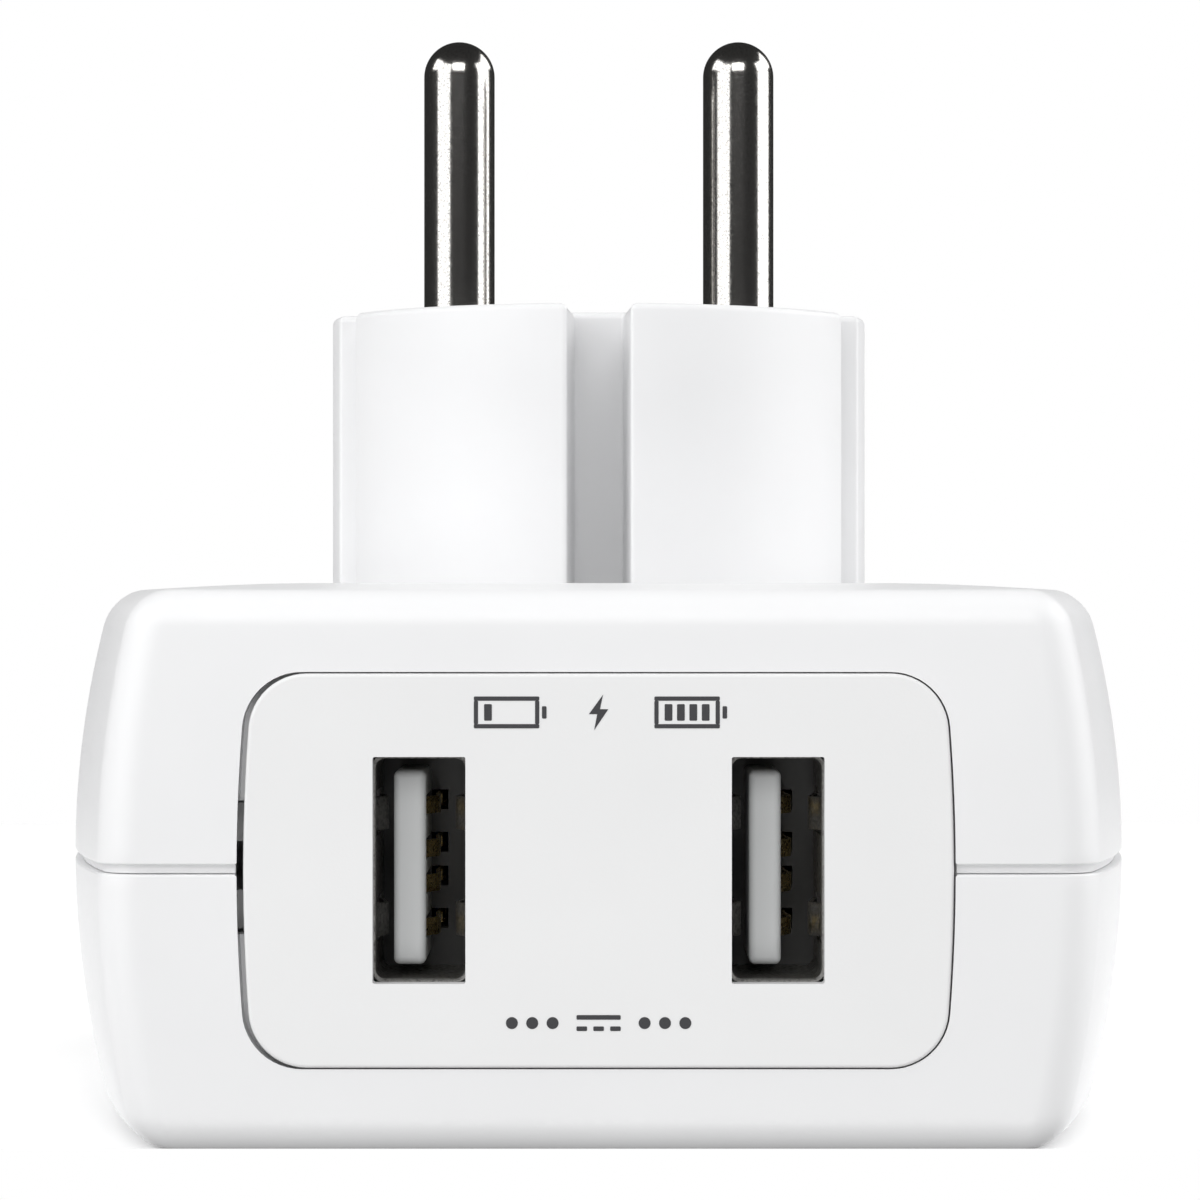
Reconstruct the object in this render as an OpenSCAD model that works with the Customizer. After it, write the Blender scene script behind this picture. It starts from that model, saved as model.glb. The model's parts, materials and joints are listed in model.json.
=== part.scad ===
// Two-port USB wall charger with an unearthed round contour plug.
// +Z is the way the pins point, -Y is the way the USB sockets face.
// The origin is midway between the pins, on the plug's flat engagement face.

/* [Body] */
// Width across the bulging sides
body_w = 64.8; // [62:0.1:66]
// Depth from the wall-side face to the front face
body_t = 32.3; // [31.8:0.1:33]
// Distance from the pins to the flat face with the sockets
nose_y = 48.8; // [48.6:0.1:50]
// Distance from the pins to the widest place
wide_y = 20; // [18:0.5:24]
// Radius of the two sides, seen along the pins
side_r = 97; // [80:1:110]
// Corner radius where a side meets the socket face
nose_corner_r = 2.7; // [2.2:0.1:3.2]
// Radius of the outward bulge of the sides
bow_r = 54.7; // [48:0.1:60]
// Depth of the widest place below the wall-side face
bow_depth = 16.2; // [15:0.1:17]
// Edge radius at the wall-side face
rear_edge_r = 2.1; // [1.8:0.1:2.6]
// Edge radius at the front face
front_edge_r = 2.1; // [1.6:0.1:2.4]
// How far the wall-side face falls away towards its edge
crown = 0.38; // [0.2:0.02:0.5]
// Wall thickness of both shells
wall = 2; // [1.8:0.1:2.2]
// Depth of the seam below the wall-side face
seam_depth = 16.25; // [16:0.05:16.5]
// Width of the shadow groove along the seam
groove_w = 0.54; // [0.4:0.02:0.7]
// Depth of the shadow groove
groove_d = 1; // [0.8:0.1:1.1]

/* [Plug] */
// Radius of the round plug contour
plug_r = 18.15; // [17.9:0.05:18.4]
// Height of the plug above the wall-side face
plug_h = 18; // [17.5:0.1:18.5]
// Width of the slots that clear a socket's earth springs, at their mouth
slot_w = 4.1; // [3.9:0.05:4.3]
// Width of those slots at their floor
slot_floor_w = 3.25; // [3:0.05:3.6]
// Distance from the plug's axis to the floor of those slots
slot_floor_y = 9; // [8.5:0.1:10]
// Half width of the four lobes
lobe_x = 16.04; // [15.8:0.02:16.3]
// Half width of the two side ears, along Y
ear_y = 5.5; // [5:0.1:6]
// Width of the guide groove in each ear
guide_w = 5; // [4.6:0.1:5.2]
// Depth of the guide groove
guide_d = 2.3; // [2:0.1:2.4]
// Radius of a pin
pin_r = 2.4; // [2.37:0.01:2.43]
// Length of a pin above the engagement face
pin_len = 19; // [18.5:0.1:19.5]
// Distance between the pins' axes
pin_pitch = 19; // [18.5:0.1:19.2]

/* [Socket panel] */
// Width of the panel at its middle
panel_w = 40.2; // [39.8:0.1:40.6]
// Height of the panel
panel_h = 22.3; // [22:0.1:22.6]
// Corner radius of the panel
panel_corner_r = 3.3; // [3:0.1:3.6]
// Thickness of the panel
panel_t = 1.6; // [1.5:0.1:1.7]
// Gap round the panel
panel_gap = 0.13; // [0.1:0.01:0.2]
// Extra gap along the panel's -X edge, where its hooks go in
hook_gap = 0.32; // [0.2:0.02:0.4]

/* [USB sockets] */
// Distance between the two sockets' centres
port_pitch = 20.3; // [20:0.1:21]
// Opening for each socket in the panel, across
port_cut_w = 5.25; // [5.2:0.05:5.4]
// Opening for each socket in the panel, along Z
port_cut_h = 12.82; // [12.7:0.02:13]
// Outer width of a socket's metal shell
shell_w = 5.72; // [5.7:0.02:5.8]
// Outer height of a socket's metal shell
shell_h = 13.14; // [13.1:0.02:13.2]
// Length of a socket's metal shell
shell_len = 14; // [13.5:0.1:14.5]
// Sheet thickness of a socket's metal shell
shell_t = 0.3; // [0.25:0.01:0.32]
// Thickness of a socket's tongue
tongue_t = 1.84; // [1.8:0.02:1.9]
// Height of a socket's tongue
tongue_h = 11.1; // [11:0.1:11.3]
// Free space beside the tongue, on its bare side
tongue_side_gap = 1; // [0.9:0.05:1.1]
// Width of a contact spring
contact_w = 1; // [0.9:0.05:1.1]

/* [Hidden] */

$fn = 48;
slack = 0.01; // overlap that makes two solids of one node fuse
over = 1;     // how far a cutting solid runs past what it cuts

body_r = body_w / 2;
rear_z = -plug_h;
front_z = rear_z - body_t;
seam_z = rear_z - seam_depth;
bow_z = rear_z - bow_depth;
groove_top = seam_z + groove_w / 2;
groove_bottom = seam_z - groove_w / 2;
ceiling_z = rear_z - wall;
floor_z = front_z + wall;
nose_bow = 0.15; // share of the sides' bulge that the socket face has

port_z = seam_z - 0.03;
panel_z = seam_z - 0.05;
panel_back_y = -nose_y + panel_t;
ledge_t = 1.5;
ledge_y = panel_back_y + 0.1;

board_t = 1.6;
board_top = port_z - shell_h / 2 - 0.05;
board_bottom = board_top - board_t;
board_r = 27.2;
board_arc_y = 30;
board_nose_y = 43.6;
board_screw_xy = [23.3, -17.5];

screw_xy = [[20, 10.5], [20.5, -36.5]];
screw_seat_z = rear_z - 8;
boss_r = 3.75;
boss_joint_z = seam_z - 2.2;
screw_r = 1.25;
screw_head_r = 2.8;
counterbore_r = 3.1;

port_front_y = ledge_y - 0.02;
port_back_y = port_front_y + shell_len;
tongue_x = shell_w / 2 - shell_t - tongue_side_gap;
tongue_face_x = tongue_t - tongue_x;
tongue_front_y = port_front_y + 1;
block_front_y = tongue_front_y + 8.1;
contact_z = [3.5, 1, -1, -3.5];
contact_t = 0.2;
contact_root_y = block_front_y + 0.6;
tail_y = port_back_y + 0.8;
tail_step = 0.65;
tongue_groove = 1.05; // depth of the groove that a contact's tip lies in
leg_w = 1.6;
leg_y = [-42, -36];
finger_w = 1.9;
finger_z = 3.05;
finger_depth = 0.65;

edge_points = 7; // points along each bowed edge of the panel
hook_h = 2.2;
hook_z = [2.6, -2.4];
hook_x = panel_w / 2 - 1.2;

plug_face_t = 3.5;
pin_seat_r = pin_r + 0.2; // thicker part of a pin, pressed into its boss
pin_boss_r = 4.4;
pin_boss_end = -14;
pin_collar_r = 3.4;
pin_tail_r = 1.6;
retainer_z = -17;
retainer_t = 2.2;
retainer_xy = [[0, 4.8], [0, -4.8]];
pin_tail_z = retainer_z - 5;
wire_r = 0.9;

// ---------------------------------------------------------------- outlines

// How far the sides have bulged back in at height z
function bow(z) = bow_r - sqrt(bow_r * bow_r - (z - bow_z) * (z - bow_z));

// Right half of the body's outline, inset by "inset", from the nose's middle to the tail's middle.
// A corner arc, the side's slow arc, a short straight and the round tail follow each other.
function half_outline(inset) =
    let (a = body_r - inset, r = side_r - inset, c = max(nose_corner_r - inset, 0.3),
        side_x = body_r - side_r, cy = c - nose_y + inset,
        cx = side_x + sqrt((r - c) * (r - c) - (cy + wide_y) * (cy + wide_y)),
        turn = atan2(cy + wide_y, cx - side_x))
    concat(
        [for (i = [0:5]) let (t = -90 + (turn + 90) * i / 5) [cx + c * cos(t), cy + c * sin(t)]],
        [for (i = [1:6]) let (t = turn * (1 - i / 6)) [side_x + r * cos(t), r * sin(t) - wide_y]],
        [for (i = [0:17]) let (t = 90 * i / 18) [a * cos(t), a * sin(t)]],
        [[0, a]]);

// Whole outline at height z: the half and its mirror image, drawn in by the bulge
function outline(inset, z) =
    let (half = half_outline(inset), last = len(half) - 1,
        whole = concat(half, [for (i = [last - 1:-1:0]) [-half[i].x, half[i].y]]),
        kx = 1 - bow(z) / body_r, ky = 1 - nose_bow * bow(z) / nose_y)
    [for (p = whole) [p.x * kx, p.y * (p.y > 0 ? kx : ky)]];

// Solid through a stack of outlines; each level is [inset, height]
module loft(levels) {
    rings = [for (l = levels) [for (p = outline(l[0], l[1])) [p.x, p.y, l[1]]]];
    n = len(rings[0]);
    top = len(rings) - 1;
    points = [for (r = rings) each r];
    sides = [for (k = [0:top - 1], i = [0:n - 1]) let (j = (i + 1) % n, a = k * n, b = a + n)
        each [[a + i, b + i, b + j], [a + i, b + j, a + j]]];
    caps = [[for (i = [0:n - 1]) i], [for (i = [n - 1:-1:0]) top * n + i]];
    polyhedron(points, concat(sides, caps), convexity = 4);
}

// Levels of the outer skin, upwards, from height z0 to the wall-side face
function rear_levels(z0) = concat(
    [for (i = [0:4]) [0, z0 + (rear_z - crown - rear_edge_r - z0) * i / 5]],
    [for (t = [0:18:90]) [rear_edge_r * (1 - cos(t)),
        rear_z - crown - rear_edge_r * (1 - sin(t))]],
    [[5.4, rear_z - 0.55 * crown], [8.4, rear_z - 0.2 * crown], [11.2, rear_z]]);

// Levels of the outer skin, upwards, from the front face to height z1
function front_levels(z1) = concat(
    [for (t = [90:-18:0]) [front_edge_r * (1 - cos(t)), front_z + front_edge_r * (1 - sin(t))]],
    [for (i = [1:5]) [0, front_z + front_edge_r + (z1 - front_z - front_edge_r) * i / 5]]);

// Upright wall along the outline, between two insets and two heights
module rim(outer, inner, z0, z1) {
    translate([0, 0, z0])
        linear_extrude(z1 - z0)
            difference() {
                polygon(outline(outer, seam_z));
                polygon(outline(inner, seam_z));
            }
}

// Outline of the socket panel, in X and Z about its centre. Its two upright edges bulge as
// the body does. grow moves every edge outwards, and left_grow the -X edge by some more.
function panel_half(grow) =
    let (w = panel_w / 2 + grow, h = panel_h / 2 + grow, r = panel_corner_r + grow,
        v0 = (h - r) / (1 - r / bow_r), a0 = asin(v0 / bow_r),
        x0 = w - bow_r + sqrt(bow_r * bow_r - v0 * v0))
    concat(
        [for (i = [0:edge_points - 1]) let (v = v0 * (2 * (i + 1) / (edge_points + 1) - 1))
            [w - bow_r + sqrt(bow_r * bow_r - v * v), v]],
        [for (i = [0:8]) let (t = a0 + (90 - a0) * i / 8)
            [x0 + r * (cos(t) - cos(a0)), v0 + r * (sin(t) - sin(a0))]]);

module panel_outline(grow, left_grow = 0) {
    half = panel_half(grow);
    last = len(half) - 1;
    up = [for (i = [0:last]) half[i]];
    across = [for (i = [last:-1:0]) [-half[i].x - left_grow, half[i].y]];
    low_left = [for (i = [edge_points:last]) [-half[i].x - left_grow, -half[i].y]];
    low_right = [for (i = [last:-1:edge_points]) [half[i].x, -half[i].y]];
    polygon(concat(up, across, low_left, low_right));
}

// Upright plate of the shape that is given in X and Z, from y0 to y1
module plate_y(y0, y1, z) {
    translate([0, y1, z])
        rotate([90, 0, 0])
            linear_extrude(y1 - y0)
                children();
}

// Everything of the shapes that lies above or below the seam
module above_seam() {
    intersection() {
        children();
        translate([-60, -60, groove_top]) cube([120, 120, 60]);
    }
}

module below_seam() {
    intersection() {
        children();
        translate([-60, -60, groove_bottom - 60]) cube([120, 120, 60]);
    }
}

// ------------------------------------------------------------------ shells

// The ledge behind the panel's edge
module panel_ledge() {
    plate_y(ledge_y - 0.4, ledge_y + ledge_t, panel_z) panel_outline(1.6);
}

// The window in both shells: a recess for the panel, and a smaller hole behind it
module panel_window() {
    plate_y(-nose_y - over, ledge_y, panel_z) panel_outline(panel_gap, hook_gap);
    plate_y(-nose_y - over, ledge_y + ledge_t + over, panel_z) panel_outline(-1.3);
    hook_slots();
}

// Both upright edges of the panel in turn: the +X edge, then the -X edge mirrored from it.
// $reach is how far a hook there reaches outwards behind the ledge: the -X pair go in first
// at an angle and reach far, and the +X pair snap in.
module at_hooks() {
    for (side = [0, 1], z = hook_z)
        mirror([side, 0, 0])
            translate([hook_x, 0, panel_z + z]) {
                $reach = side == 1 ? 2.1 : 0.8;
                children();
            }
}

// Slots in the ledge that the panel's four hooks pass through
module hook_slots() {
    at_hooks()
        translate([-0.45, ledge_y - over, -hook_h / 2 - 0.2])
            cube([0.5 + $reach, ledge_t + 2 * over, hook_h + 0.4]);
}

module at_screws() {
    for (side = [-1, 1], p = screw_xy)
        translate([side * p.x, p.y, 0])
            children();
}

// Slot for an earth spring on the +Y side; it narrows from its mouth to its floor
module earth_slot(inset) {
    slope = (slot_w - slot_floor_w) / 2 / (plug_r - slot_floor_y);
    floor_x = slot_floor_w / 2 + inset;
    mouth_x = slot_w / 2 + inset + slope * over;
    floor_y = slot_floor_y - inset;
    mouth_y = plug_r + over;
    polygon([[-floor_x, floor_y], [floor_x, floor_y], [mouth_x, mouth_y], [-mouth_x, mouth_y]]);
}

// Section of the plug, with its walls drawn in by "inset"
module plug_section(inset) {
    difference() {
        intersection() {
            circle(plug_r - inset, $fn = 96);
            union() {
                square([2 * (lobe_x - inset), 2 * plug_r], center = true);
                square([2 * plug_r, 2 * (ear_y - inset)], center = true);
            }
        }
        for (flip = [0, 1])
            mirror([0, flip]) earth_slot(inset);
        for (side = [-1, 1])
            translate([side * (plug_r - guide_d - inset + 5) - 5, -guide_w / 2 - inset])
                square([10, guide_w + 2 * inset]);
    }
}

// Wall-side shell, moulded in one with the hollow plug
module rear_shell() color("white") {
    difference() {
        union() {
            difference() {
                loft(rear_levels(groove_top));
                loft([[wall, groove_top - over], [wall, -25], [wall + 0.2, ceiling_z - 2],
                    [wall + 1.6, ceiling_z]]);
            }
            translate([0, 0, rear_z - over]) linear_extrude(plug_h + over) plug_section(0);
            rim(groove_d, wall, groove_bottom - 2, groove_top + over);
            above_seam() panel_ledge();
            at_screws() translate([0, 0, boss_joint_z])
                cylinder(r = boss_r, h = ceiling_z + slack - boss_joint_z);
        }
        plug_inside();
        at_screws() {
            translate([0, 0, screw_seat_z]) cylinder(r = counterbore_r, h = 20);
            translate([0, 0, boss_joint_z - over]) cylinder(r = 1.6, h = 20);
        }
        panel_window();
    }
}

// What is cut out of the plug: its hollow, the pin holes, and room for collars and retainer
module plug_inside() {
    translate([0, 0, ceiling_z - over])
        linear_extrude(plug_h + wall + over - plug_face_t)
            plug_hollow();
    for (x = [-1, 1] * pin_pitch / 2)
        translate([x, 0, ceiling_z - over]) {
            cylinder(r = pin_seat_r, h = 30);
            cylinder(r = pin_boss_r + slack, h = pin_boss_end - ceiling_z + over);
        }
    translate([0, 0, ceiling_z - over])
        linear_extrude(retainer_z - ceiling_z + over)
            square([10, 13.8], center = true);
    for (p = retainer_xy)
        translate([p.x, p.y, retainer_z - over])
            cylinder(r = 0.9, h = 9 + over);
}

// Hollow of the plug: its walls, the pin bosses and the two screw posts stay standing
module plug_hollow() {
    difference() {
        plug_section(wall);
        for (x = [-1, 1] * pin_pitch / 2)
            translate([x, 0]) circle(pin_boss_r);
        for (p = retainer_xy)
            translate(p) circle(2);
    }
}

// Front shell, the flat side that faces away from the wall
module front_shell() color("white") {
    difference() {
        union() {
            difference() {
                loft(front_levels(groove_bottom));
                loft([[wall + 1.2, floor_z], [wall + 0.2, floor_z + 1.4], [wall, -42],
                    [wall, groove_bottom + over]]);
            }
            below_seam() panel_ledge();
            at_screws() translate([0, 0, floor_z - slack])
                cylinder(r = boss_r - 0.25, h = boss_joint_z - 0.1 - floor_z + slack);
            board_posts();
        }
        rim(groove_d - 0.1, wall + 0.5, groove_bottom - 2.2, groove_bottom + over);
        at_screws() translate([0, 0, floor_z + 1.7]) cylinder(r = screw_r, h = 20);
        at_board_screws() translate([0, 0, floor_z + 1]) cylinder(r = 0.9, h = 20);
        panel_window();
    }
}

module at_board_screws() {
    for (side = [-1, 1])
        translate([side * board_screw_xy.x, board_screw_xy.y, 0])
            children();
}

// Posts that the board lies on
module board_posts() {
    at_board_screws() translate([0, 0, floor_z - slack])
        cylinder(r = 2.4, h = board_bottom - floor_z + slack);
    translate([0, 24.4, floor_z - slack]) cylinder(r = 1.8, h = board_bottom - floor_z + slack);
}

// Hook on the panel's back, with its nose behind the ledge
module panel_hook() {
    nose = ledge_y + ledge_t + 0.1;
    translate([0, 0, -hook_h / 2])
        linear_extrude(hook_h)
            polygon([[-0.5, panel_back_y - slack], [0.4, panel_back_y - slack], [0.4, nose],
                [0.6 + $reach, nose], [0.6 + $reach, nose + 0.3], [0.4, nose + 1.3],
                [-0.5, nose + 1.3]]);
}

// Insert with the two socket openings; four hooks hold it behind the ledge
module socket_panel() color("whitesmoke") {
    difference() {
        union() {
            plate_y(-nose_y, panel_back_y, panel_z) panel_outline(0);
            at_hooks() panel_hook();
        }
        for (x = [-1, 1] * port_pitch / 2)
            translate([x - port_cut_w / 2, -nose_y - over, port_z - port_cut_h / 2])
                cube([port_cut_w, panel_t + 2 * over, port_cut_h]);
    }
}

// Pan-head screw with a cross recess, standing on its seat at the origin and pointing down
module screw(head_r, head_h, shank_r, length) {
    difference() {
        union() {
            cylinder(r = head_r, h = head_h);
            translate([0, 0, -length + 1.5]) cylinder(r = shank_r, h = length - 1.5 + slack);
            translate([0, 0, -length]) cylinder(r1 = 0.3, r2 = shank_r, h = 1.5 + slack);
        }
        for (a = [0, 90])
            rotate(a)
                translate([-head_r * 0.55, -head_r * 0.11, head_h * 0.4])
                    cube([head_r * 1.1, head_r * 0.22, head_h]);
    }
}

// Four screws that hold the shells together, set deep in the wall-side face
module shell_screws() color("silver") {
    at_screws() translate([0, 0, screw_seat_z]) screw(screw_head_r, 2, screw_r, 18);
}

// -------------------------------------------------------------- pins, mains

// Solid round pin with a domed tip, a thicker seat that ends level with the engagement face, a
// collar that stops it in its boss, and a solder tail
module plug_pin() {
    translate([0, 0, -slack]) cylinder(r = pin_r, h = pin_len - pin_r + slack);
    translate([0, 0, pin_boss_end - slack]) cylinder(r = pin_seat_r, h = slack - pin_boss_end);
    intersection() {
        translate([0, 0, pin_len - pin_r]) sphere(pin_r);
        translate([-pin_r, -pin_r, pin_len - pin_r - slack]) cube([2 * pin_r, 2 * pin_r, 2 * pin_r]);
    }
    translate([0, 0, retainer_z]) cylinder(r = pin_collar_r, h = pin_boss_end - retainer_z);
    translate([0, 0, retainer_z - 5]) cylinder(r = pin_tail_r, h = 5 + slack);
}

module line_pin() color("silver") {
    translate([-pin_pitch / 2, 0, 0]) plug_pin();
}

module neutral_pin() color("silver") {
    translate([pin_pitch / 2, 0, 0]) plug_pin();
}

// Plate that is screwed under both pin collars and keeps the pins in
module pin_retainer() color("dimgray") {
    translate([0, 0, retainer_z - retainer_t])
        linear_extrude(retainer_t)
            difference() {
                intersection() {
                    circle(13.4);
                    square([26, 13.4], center = true);
                }
                for (x = [-1, 1] * pin_pitch / 2)
                    translate([x, 0]) circle(pin_tail_r + 0.1);
                for (p = retainer_xy)
                    translate(p) circle(1.3);
            }
}

module retainer_screws() color("silver") {
    for (p = retainer_xy)
        translate([p.x, p.y, retainer_z - retainer_t])
            mirror([0, 0, 1]) screw(1.9, 1.3, 0.9, 8);
}

// Smooth curve through the points, with "steps" steps from each point to the next
function smooth(points, steps) =
    let (last = len(points) - 1)
    concat([for (k = [0:last - 1])
        let (a = points[k], b = points[k + 1],
            da = k == 0 ? b - a : (b - points[k - 1]) / 2,
            db = k == last - 1 ? b - a : (points[k + 2] - a) / 2)
        each [for (i = [0:steps - 1]) let (u = i / steps)
            a * (2 * u * u * u - 3 * u * u + 1) + b * (3 * u * u - 2 * u * u * u)
            + da * (u * u * u - 2 * u * u + u) + db * (u * u * u - u * u)]],
        [points[last]]);

// Round wire along a curve that never runs along X, with both ends cut level
module wire(points, r, sides = 10) {
    curve = smooth(points, 4);
    last = len(curve) - 1;
    rings = [for (k = [0:last])
        let (d = k == 0 || k == last ? [0, 0, -1] : curve[k + 1] - curve[k - 1],
            e = cross(d, [1, 0, 0]), f = cross(e, d))
        each [for (i = [0:sides - 1]) let (t = 360 * i / sides)
            curve[k] + r * (cos(t) * f / norm(f) + sin(t) * e / norm(e))]];
    skin = [for (k = [0:last - 1], i = [0:sides - 1])
        let (j = (i + 1) % sides, a = k * sides, b = a + sides)
        each [[a + i, a + j, b + j], [a + i, b + j, b + i]]];
    ends = [[for (i = [sides - 1:-1:0]) i], [for (i = [0:sides - 1]) last * sides + i]];
    polyhedron(rings, concat(skin, ends), convexity = 4);
}

// Wire from a pin's tail to its terminal on the board, on the +X side
module mains_wire() {
    wire([[pin_pitch / 2, 0, pin_tail_z], [pin_pitch / 2, 0.4, pin_tail_z - 3],
        [11.5, 3.5, -31], [11.5, 6, -37], [11.5, 6, board_top]], wire_r);
}

module line_wire() color("saddlebrown") mirror([1, 0, 0]) mains_wire();
module neutral_wire() color("royalblue") mains_wire();

// ------------------------------------------------------------------- board

// Circuit board, with holes for the screw bosses, the screws, the sockets' legs and the tails
module main_board() color("seagreen") {
    difference() {
        translate([0, 0, board_bottom])
            linear_extrude(board_t)
                intersection() {
                    union() {
                        circle(board_r, $fn = 96);
                        translate([0, -board_arc_y]) circle(board_r, $fn = 96);
                        translate([-board_r, -board_arc_y]) square([2 * board_r, board_arc_y]);
                    }
                    translate([-30, -board_nose_y]) square([60, 80]);
                }
        at_screws() translate([0, 0, board_bottom - over]) cylinder(r = boss_r + 0.1, h = board_t + 2 * over);
        at_board_screws() translate([0, 0, board_bottom - over])
            cylinder(r = 1.1, h = board_t + 2 * over);
        for (x = [-1, 1] * port_pitch / 2) {
            for (side = [-1, 1], y = leg_y)
                translate([x + side * (shell_w - shell_t) / 2 - 0.4, y - 0.2, board_bottom - over])
                    cube([0.8, leg_w + 0.4, board_t + 2 * over]);
            for (i = [0:3])
                translate([x + tongue_face_x + 0.45, tail_y + i * tail_step, board_bottom - over])
                    cylinder(r = 0.29, h = board_t + 2 * over, $fn = 24);
        }
        translate([-3, -15.2, board_bottom - over]) cube([20, 1, board_t + 2 * over]);
    }
}

module board_screws() color("silver") {
    at_board_screws() translate([0, 0, board_top]) screw(2, 1.3, 0.9, 6);
}

// Small surface-mount chips and the input terminals' solder collars, on both sides of the board
module board_small_parts() color("dimgray") {
    for (x = [-11.5, 11.5])
        translate([x, 6, board_bottom - 0.8]) cylinder(r1 = 0.5, r2 = 1.3, h = 0.8);
    for (i = [0:5])
        translate([-12 + i * 3.4, -24, board_bottom - 0.55]) cube([1.6, 0.8, 0.55]);
    for (i = [0:4])
        translate([-9 + i * 4.2, -1, board_bottom - 0.55]) cube([0.9, 1.7, 0.55]);
    for (i = [0:2])
        translate([-4 + i * 3, -38, board_bottom - 0.55]) cube([1.6, 0.8, 0.55]);
}

// ------------------------------------------------------------- USB sockets

// Strip of constant thickness along points in X and Y
function along(points, i) =
    let (a = points[max(i - 1, 0)], b = points[min(i + 1, len(points) - 1)], d = (b - a) / norm(b - a))
    [-d.y, d.x];

module strip(points, t) {
    last = len(points) - 1;
    polygon(concat([for (i = [0:last]) points[i] + along(points, i) * t / 2],
        [for (i = [last:-1:0]) points[i] - along(points, i) * t / 2]));
}

module rounded_rectangle(w, h, r) {
    square([w - 2 * r, h], center = true);
    square([w, h - 2 * r], center = true);
    for (sx = [-1, 1], sy = [-1, 1])
        translate([sx * (w / 2 - r), sy * (h / 2 - r)]) circle(r, $fn = 24);
}

// Sheet-metal shell of one socket, with two pressed-in spring fingers on each broad wall
module port_shell() {
    wall_x = shell_w / 2 - shell_t / 2;
    difference() {
        plate_y(port_front_y, port_back_y, port_z)
            difference() {
                rounded_rectangle(shell_w, shell_h, 0.6);
                rounded_rectangle(shell_w - 2 * shell_t, shell_h - 2 * shell_t, 0.3);
            }
        for (side = [-1, 1], z = [-finger_z, finger_z])
            translate([side * wall_x - 0.5, port_front_y + 1.3, port_z + z - finger_w / 2 - 0.35])
                cube([1, 5.6, finger_w + 0.7]);
    }
    for (side = [-1, 1], z = [-finger_z, finger_z])
        translate([0, 0, port_z + z - finger_w / 2])
            linear_extrude(finger_w)
                strip([[side * wall_x, port_front_y + 1.1],
                    [side * (wall_x - 0.1), port_front_y + 1.8],
                    [side * (wall_x - finger_depth * 0.85), port_front_y + 2.7],
                    [side * (wall_x - finger_depth), port_front_y + 3.2],
                    [side * (wall_x - finger_depth * 0.85), port_front_y + 3.8],
                    [side * (wall_x - 0.2), port_front_y + 6.4]], 0.24);
    for (side = [-1, 1], y = leg_y)
        translate([side * wall_x - shell_t / 2, y, board_bottom - 0.8])
            cube([shell_t, leg_w, board_t + 1.8]);
}

// Moulded tongue, with a groove for each contact
module port_tongue() {
    difference() {
        plate_y(tongue_front_y, block_front_y, port_z)
            translate([-tongue_x + tongue_t / 2, 0])
                rounded_rectangle(tongue_t, tongue_h, 0.25);
        for (z = contact_z)
            translate([tongue_face_x - tongue_groove, tongue_front_y + 0.6,
                port_z + z - contact_w / 2 - 0.1])
                cube([2, 10, contact_w + 0.2]);
    }
}

// Dark block that closes the back of the socket and holds the tongue and the contacts
module port_block() {
    half_w = shell_w / 2 - shell_t;
    half_h = shell_h / 2 - shell_t;
    difference() {
        plate_y(block_front_y, port_back_y - 0.2, port_z)
            rounded_rectangle(2 * half_w, 2 * half_h, 0.3);
        for (z = contact_z)
            translate([tongue_face_x, block_front_y - over, port_z + z - contact_w / 2 - 0.09])
                cube([1, 10, contact_w + 0.18]);
    }
}

// One contact spring: it comes out of the block, bulges beside the tongue, and its tip lies in
// the tongue's groove. It turns about its root when a plug presses the bulge.
module contact(i) {
    translate([tongue_face_x, 0, port_z + contact_z[i] - contact_w / 2])
        linear_extrude(contact_w)
            strip([[0.45, contact_root_y + 0.25], [0.45, contact_root_y - 1], [0.42, block_front_y - 1.6],
                [0.5, block_front_y - 3], [0.6, block_front_y - 4], [0.62, block_front_y - 4.8],
                [0.5, block_front_y - 5.6], [0.1, block_front_y - 6.4],
                [-0.25, block_front_y - 7.1]], contact_t);
}

// Fixed tails of the four contacts: back through the block, then down through the board
module port_tails() {
    for (i = [0:3])
        translate([tongue_face_x + 0.45, 0, port_z + contact_z[i]]) {
            y = tail_y + (3 - i) * tail_step;
            translate([-0.15, contact_root_y + 0.3, -0.3])
                cube([0.3, y + 0.15 - contact_root_y - 0.3, 0.6]);
            drop = port_z + contact_z[i] - board_bottom + 0.9;
            translate([-0.15, y - 0.15, -drop]) cube([0.3, 0.3, drop + 0.3]);
        }
}

module at_left() {
    translate([-port_pitch / 2, 0, 0]) children();
}

module at_right() {
    translate([port_pitch / 2, 0, 0]) children();
}

module left_port_shell() color("lightgray") at_left() port_shell();
module left_port_tongue() color("gainsboro") at_left() port_tongue();
module left_port_block() color("darkslategray") at_left() port_block();
module left_port_tails() color("gold") at_left() port_tails();
module right_port_shell() color("lightgray") at_right() port_shell();
module right_port_tongue() color("gainsboro") at_right() port_tongue();
module right_port_block() color("darkslategray") at_right() port_block();
module right_port_tails() color("gold") at_right() port_tails();
module left_contact(i) color("gold") at_left() contact(i);
module right_contact(i) color("gold") at_right() contact(i);

// ------------------------------------------------------- parts on the board

// Upright can of an electrolytic capacitor with a rolled rim
module can(r, h) {
    rotate_extrude()
        polygon([[0, 0], [r, 0], [r, h * 0.12], [r - 0.4, h * 0.12 + 0.4], [r - 0.4, h * 0.12 + 0.7],
            [r, h * 0.12 + 1.1], [r, h - 0.4], [r - 0.4, h], [0, h]]);
}

module on_board(x, y) {
    translate([x, y, board_top]) children();
}

module fuse() color("tan") {
    on_board(-13, 19.5) rotate([0, 90, 0]) translate([-2.2, 0, 0]) {
        cylinder(r = 1.8, h = 10);
        for (x = [-1, 11.1])
            translate([0, 0, x]) cylinder(r = 0.35, h = 1);
    }
}

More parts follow.
